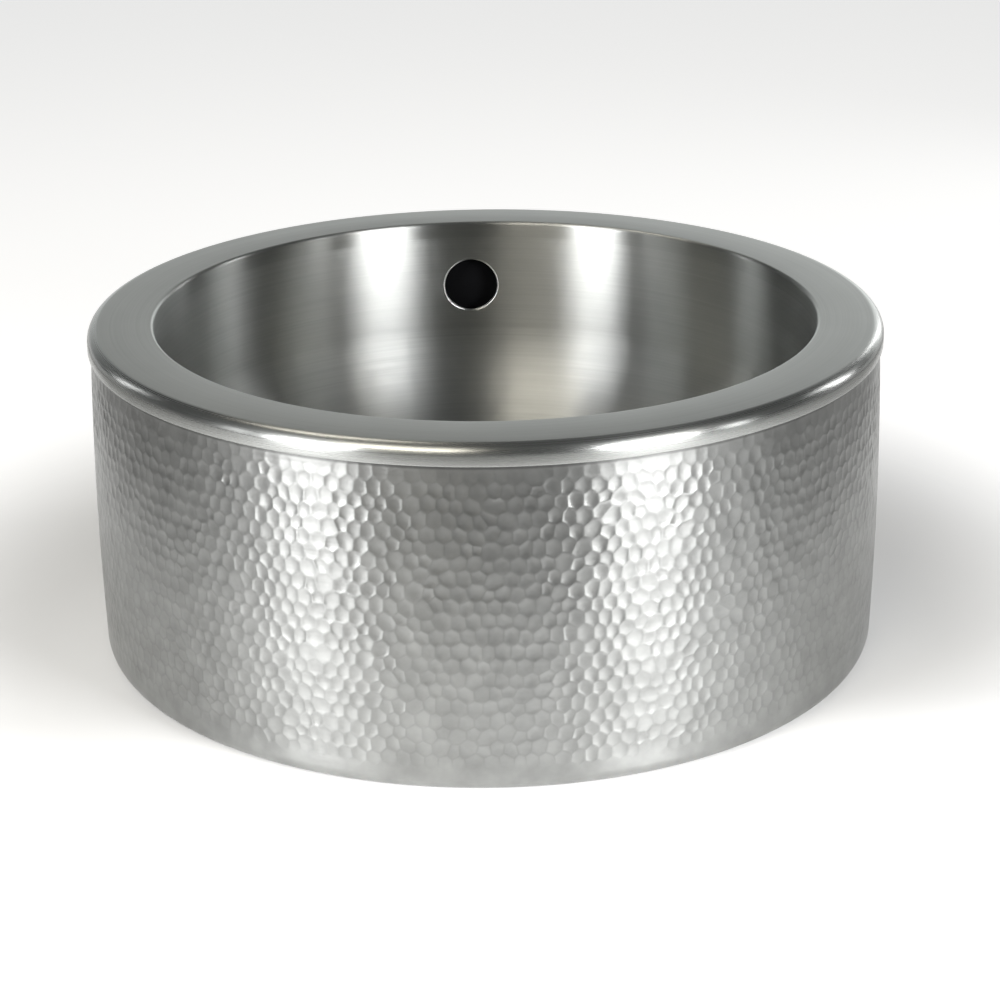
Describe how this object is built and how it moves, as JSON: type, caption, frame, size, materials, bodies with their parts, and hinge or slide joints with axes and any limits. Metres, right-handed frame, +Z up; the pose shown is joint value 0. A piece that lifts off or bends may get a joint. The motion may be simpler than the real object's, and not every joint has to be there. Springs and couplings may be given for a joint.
{
  "type": "vessel sink",
  "caption": "Round metal vessel sink: flat rim deck, hammered outer apron, smooth bowl with a drain well and a rear overflow hole ducted to the drain between the walls.",
  "frame": {"origin": "centre of the foot, on the plane of the worktop", "axes": "+Z up along the axis of the bowl, +Y towards the back, where the overflow hole is, +X to the right seen from the front"},
  "size_m": [0.4078, 0.4078, 0.172],
  "materials": {
    "brushed_nickel": "satin nickel, brushed round the axis",
    "hammered_nickel": "satin nickel over hammered sheet",
    "base_sheet": "satin nickel, unpolished",
    "duct_sheet": "satin nickel, unpolished"
  },
  "bodies": {
    "root": {"rim_deck": "brushed_nickel", "bowl": "brushed_nickel", "apron": "hammered_nickel", "base_plate": "base_sheet", "overflow_duct": "duct_sheet", "overflow_sump": "duct_sheet"}
  },
  "joints": []
}
